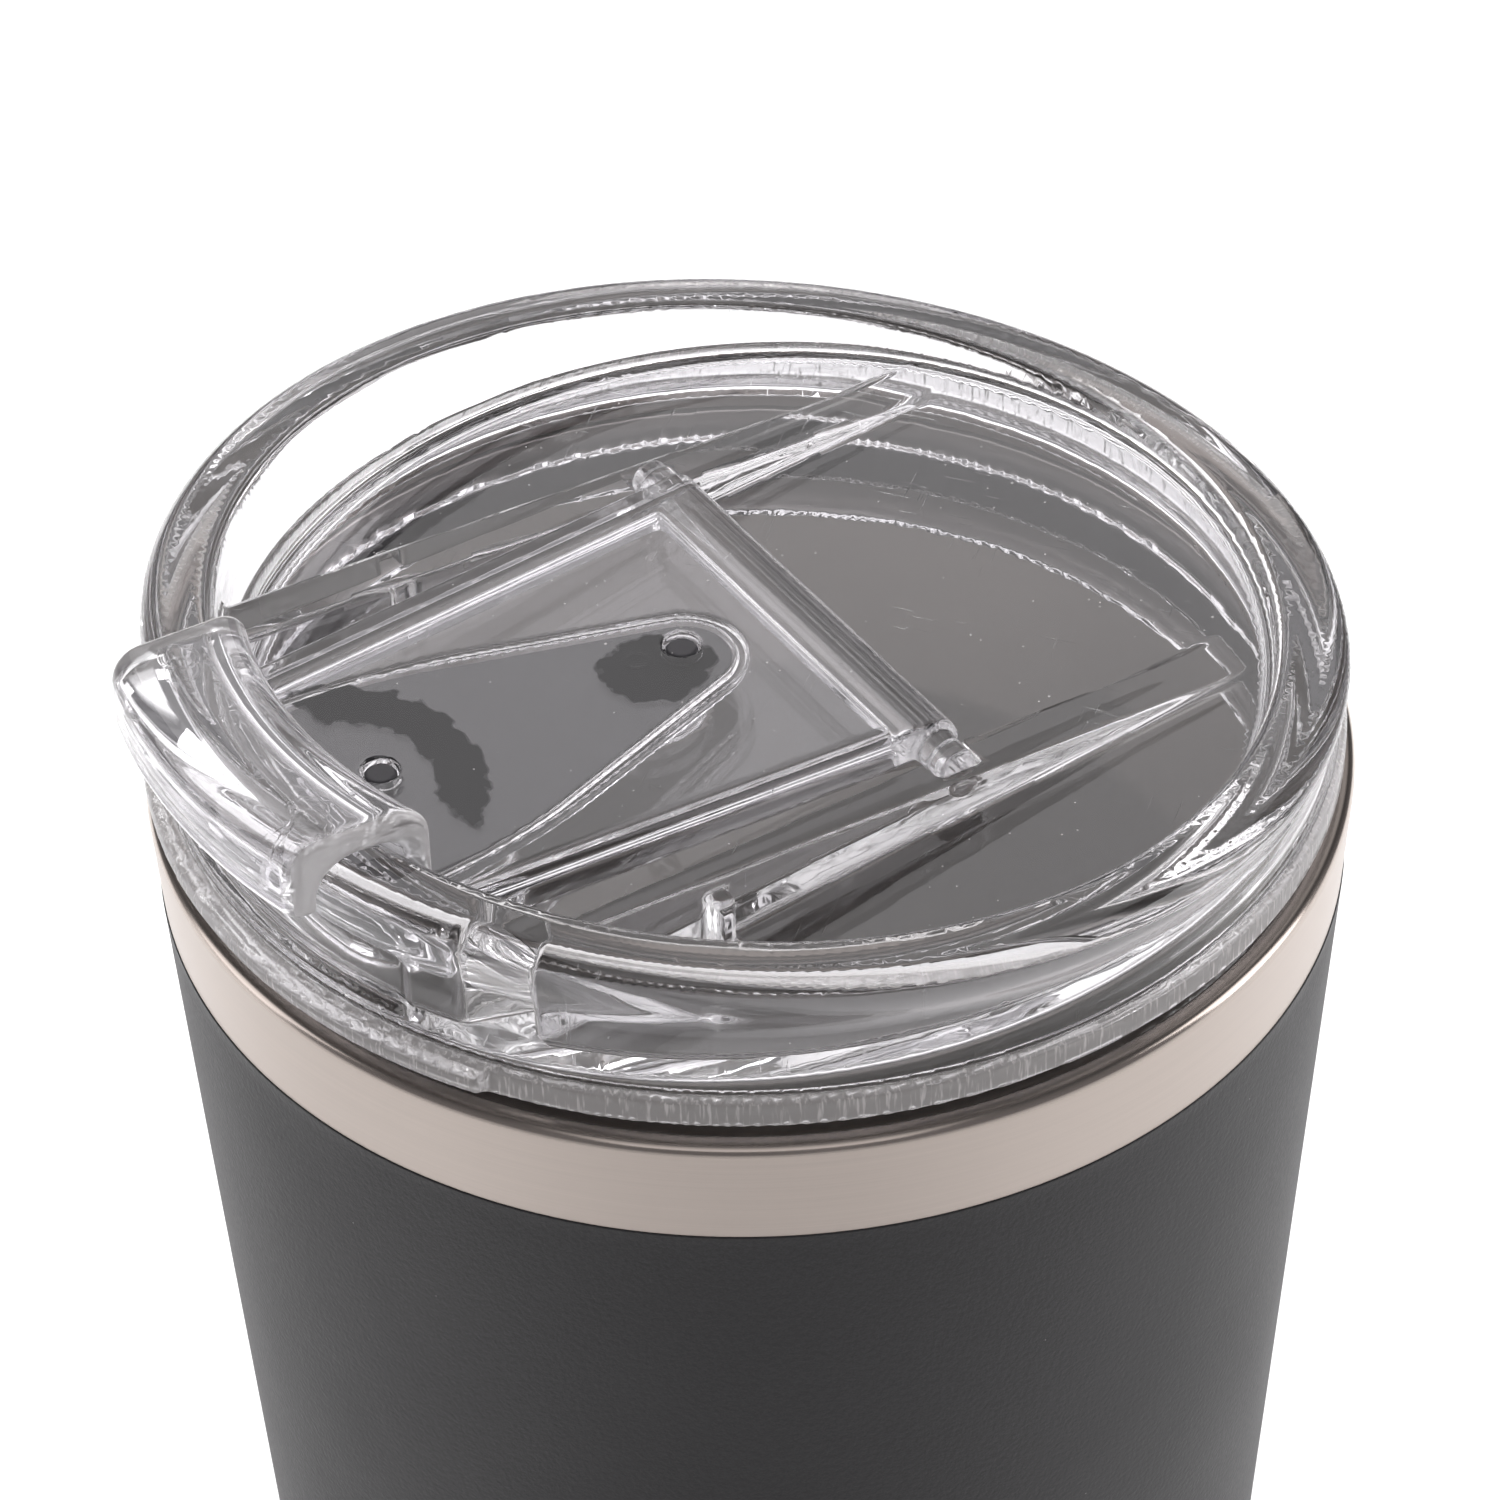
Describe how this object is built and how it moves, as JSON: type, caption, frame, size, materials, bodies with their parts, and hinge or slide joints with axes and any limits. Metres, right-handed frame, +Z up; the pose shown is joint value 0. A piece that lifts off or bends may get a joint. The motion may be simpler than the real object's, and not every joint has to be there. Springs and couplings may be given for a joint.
{
  "type": "insulated tumbler with lid",
  "caption": "Tapered double-wall steel tumbler with a clear push-in lid, whose hinged flap hooks over the rim and seals the drinking hole.",
  "frame": {"origin": "centre of the ring that the tumbler stands on", "axes": "+Z up along the cup's axis, -Y towards the drinking side of the lid, +X along the flap's hinge"},
  "size_m": [0.0888, 0.0908, 0.1771],
  "materials": {
    "charcoal_coat": "charcoal powder coat with a fine orange-peel grain on stainless steel",
    "brushed_steel": "stainless steel brushed round the cup, with a polished lip",
    "seal_glass": "fused grey sealing bead",
    "getter_metal": "dull sintered metal",
    "clear_plastic": "water-clear moulded plastic, polished, with fine scuffs and dust",
    "dark_silicone": "dark satin silicone"
  },
  "bodies": {
    "cup": {"outer_shell": "charcoal_coat", "inner_liner": "brushed_steel", "base_plate": "brushed_steel", "vacuum_seal_bead": "seal_glass", "getter_pill": "getter_metal"},
    "lid": {"lid_body": "clear_plastic", "lid_gasket": "dark_silicone"},
    "flap_arm": {"flap": "clear_plastic", "flap_seal": "dark_silicone"}
  },
  "joints": [
    {"name": "lid_lift", "type": "slide", "parent": "cup", "child": "lid", "axis": [0, 0, 1], "range_m": [0, 0.03]},
    {"name": "flap_hinge", "type": "hinge", "parent": "lid", "child": "flap_arm", "pos_m": [0, 0.0044, 0.1666], "axis": [-1, 0, 0], "range_deg": [0, 172]}
  ]
}
